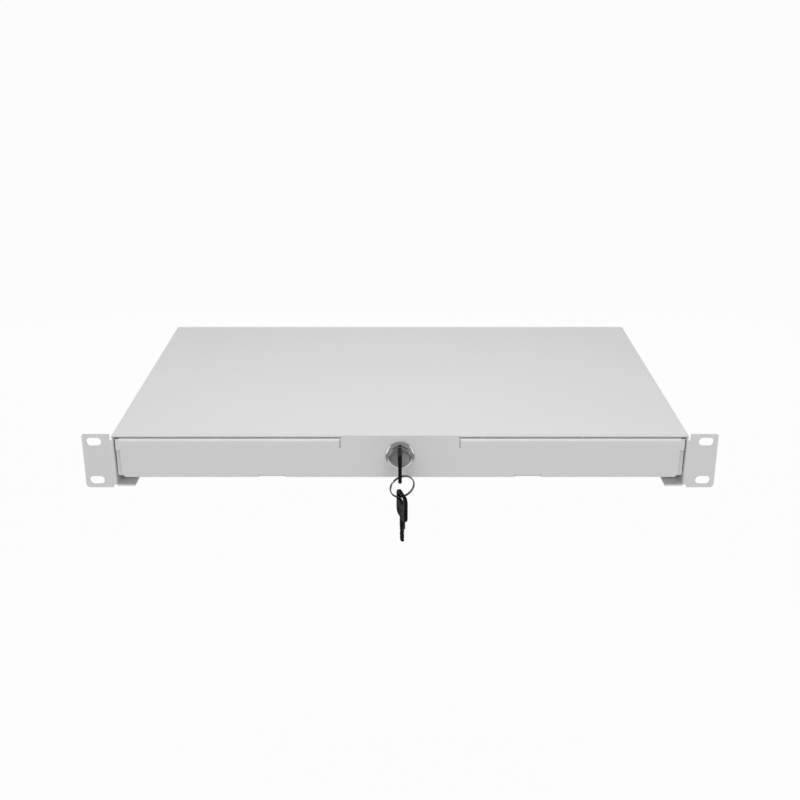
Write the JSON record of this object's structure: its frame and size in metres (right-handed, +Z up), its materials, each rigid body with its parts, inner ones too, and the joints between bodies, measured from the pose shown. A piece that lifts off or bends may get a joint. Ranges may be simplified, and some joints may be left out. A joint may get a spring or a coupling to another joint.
{
  "type": "sliding rack drawer",
  "caption": "Shallow lockable drawer on ball-bearing slides in a one-unit 19-inch rack case with slotted ears, with a cam lock and keys on a ring.",
  "frame": {"origin": "centre of the four ear slots, on the rear faces of the ears where they bear on the rack uprights", "axes": "+X to the right along the rack width, -Y out of the front, the way the drawer opens, +Z up"},
  "size_m": [0.4826, 0.3185, 0.078],
  "materials": {
    "case_paint": "light grey fine-textured powder coat",
    "zinc_steel": "zinc plated",
    "slide_steel": "zinc plated rolled steel",
    "cage_steel": "pressed steel strip",
    "ball_steel": "polished",
    "bumper_rubber": "matt black",
    "lock_chrome": "bright chrome on die cast",
    "plug_nickel": "satin nickel",
    "wafer_brass": "stamped",
    "key_steel": "nickel plated",
    "key_plastic": "moulded black",
    "ring_steel": "spring steel"
  },
  "bodies": {
    "case": {"left_bracket": "case_paint", "right_bracket": "case_paint", "top_cover": "case_paint", "rear_panel": "case_paint", "lock_strike": "case_paint", "cover_screws": "zinc_steel", "rear_panel_rivets": "zinc_steel", "drawer_bumpers": "bumper_rubber", "left_slide_outer_rail": "slide_steel", "right_slide_outer_rail": "slide_steel", "outer_rail_screws": "zinc_steel"},
    "slide_middles": {"left_slide_middle_rail": "slide_steel", "right_slide_middle_rail": "slide_steel"},
    "outer_ball_cages": {"left_outer_ball_cage": "cage_steel", "right_outer_ball_cage": "cage_steel", "outer_balls": "ball_steel"},
    "inner_ball_cages": {"left_inner_ball_cage": "cage_steel", "right_inner_ball_cage": "cage_steel", "inner_balls": "ball_steel"},
    "drawer": {"drawer_tray": "case_paint", "drawer_front": "case_paint", "front_screws": "zinc_steel", "left_slide_inner_rail": "slide_steel", "right_slide_inner_rail": "slide_steel", "inner_rail_screws": "zinc_steel", "lock_housing": "lock_chrome", "lock_washer": "zinc_steel", "lock_nut": "zinc_steel"},
    "lock_core": {"lock_plug": "plug_nickel", "lock_wafers": "wafer_brass", "lock_cam": "zinc_steel", "cam_screw": "zinc_steel"},
    "key": {"key_blade": "key_steel", "key_head": "key_plastic"},
    "ring": {"key_ring": "ring_steel"},
    "spare_key": {"spare_key_blade": "key_steel", "spare_key_head": "key_plastic"}
  },
  "joints": [
    {"name": "drawer_slide", "type": "slide", "parent": "case", "child": "drawer", "axis": [0, -1, 0], "range_m": [0, 0.25]},
    {"name": "middle_slide", "type": "slide", "parent": "case", "child": "slide_middles", "axis": [0, -1, 0], "range_m": [0, 0.125]},
    {"name": "outer_cage_slide", "type": "slide", "parent": "case", "child": "outer_ball_cages", "axis": [0, -1, 0], "range_m": [0, 0.0625]},
    {"name": "inner_cage_slide", "type": "slide", "parent": "case", "child": "inner_ball_cages", "axis": [0, -1, 0], "range_m": [0, 0.1875]},
    {"name": "lock_turn", "type": "hinge", "parent": "drawer", "child": "lock_core", "pos_m": [0, 0, 0.0052], "axis": [0, 1, 0], "range_deg": [0, 90]},
    {"name": "key_pull", "type": "slide", "parent": "lock_core", "child": "key", "axis": [0, -1, 0], "range_m": [0, 0.014]},
    {"name": "ring_turn", "type": "hinge", "parent": "key", "child": "ring", "pos_m": [0, -0.0293, -0.004], "axis": [0, 1, 0], "range_deg": [-90, 0]},
    {"name": "spare_key_swing", "type": "hinge", "parent": "ring", "child": "spare_key", "pos_m": [0.00152, -0.02459, -0.01875], "axis": [0.9613, 0.2756, 0], "range_deg": [-20, 20]}
  ],
  "couplings": [
    {"joint": "middle_slide", "follows": "drawer_slide", "ratio": 0.5},
    {"joint": "outer_cage_slide", "follows": "drawer_slide", "ratio": 0.25},
    {"joint": "inner_cage_slide", "follows": "drawer_slide", "ratio": 0.75},
    {"joint": "ring_turn", "follows": "lock_turn", "ratio": -1}
  ]
}
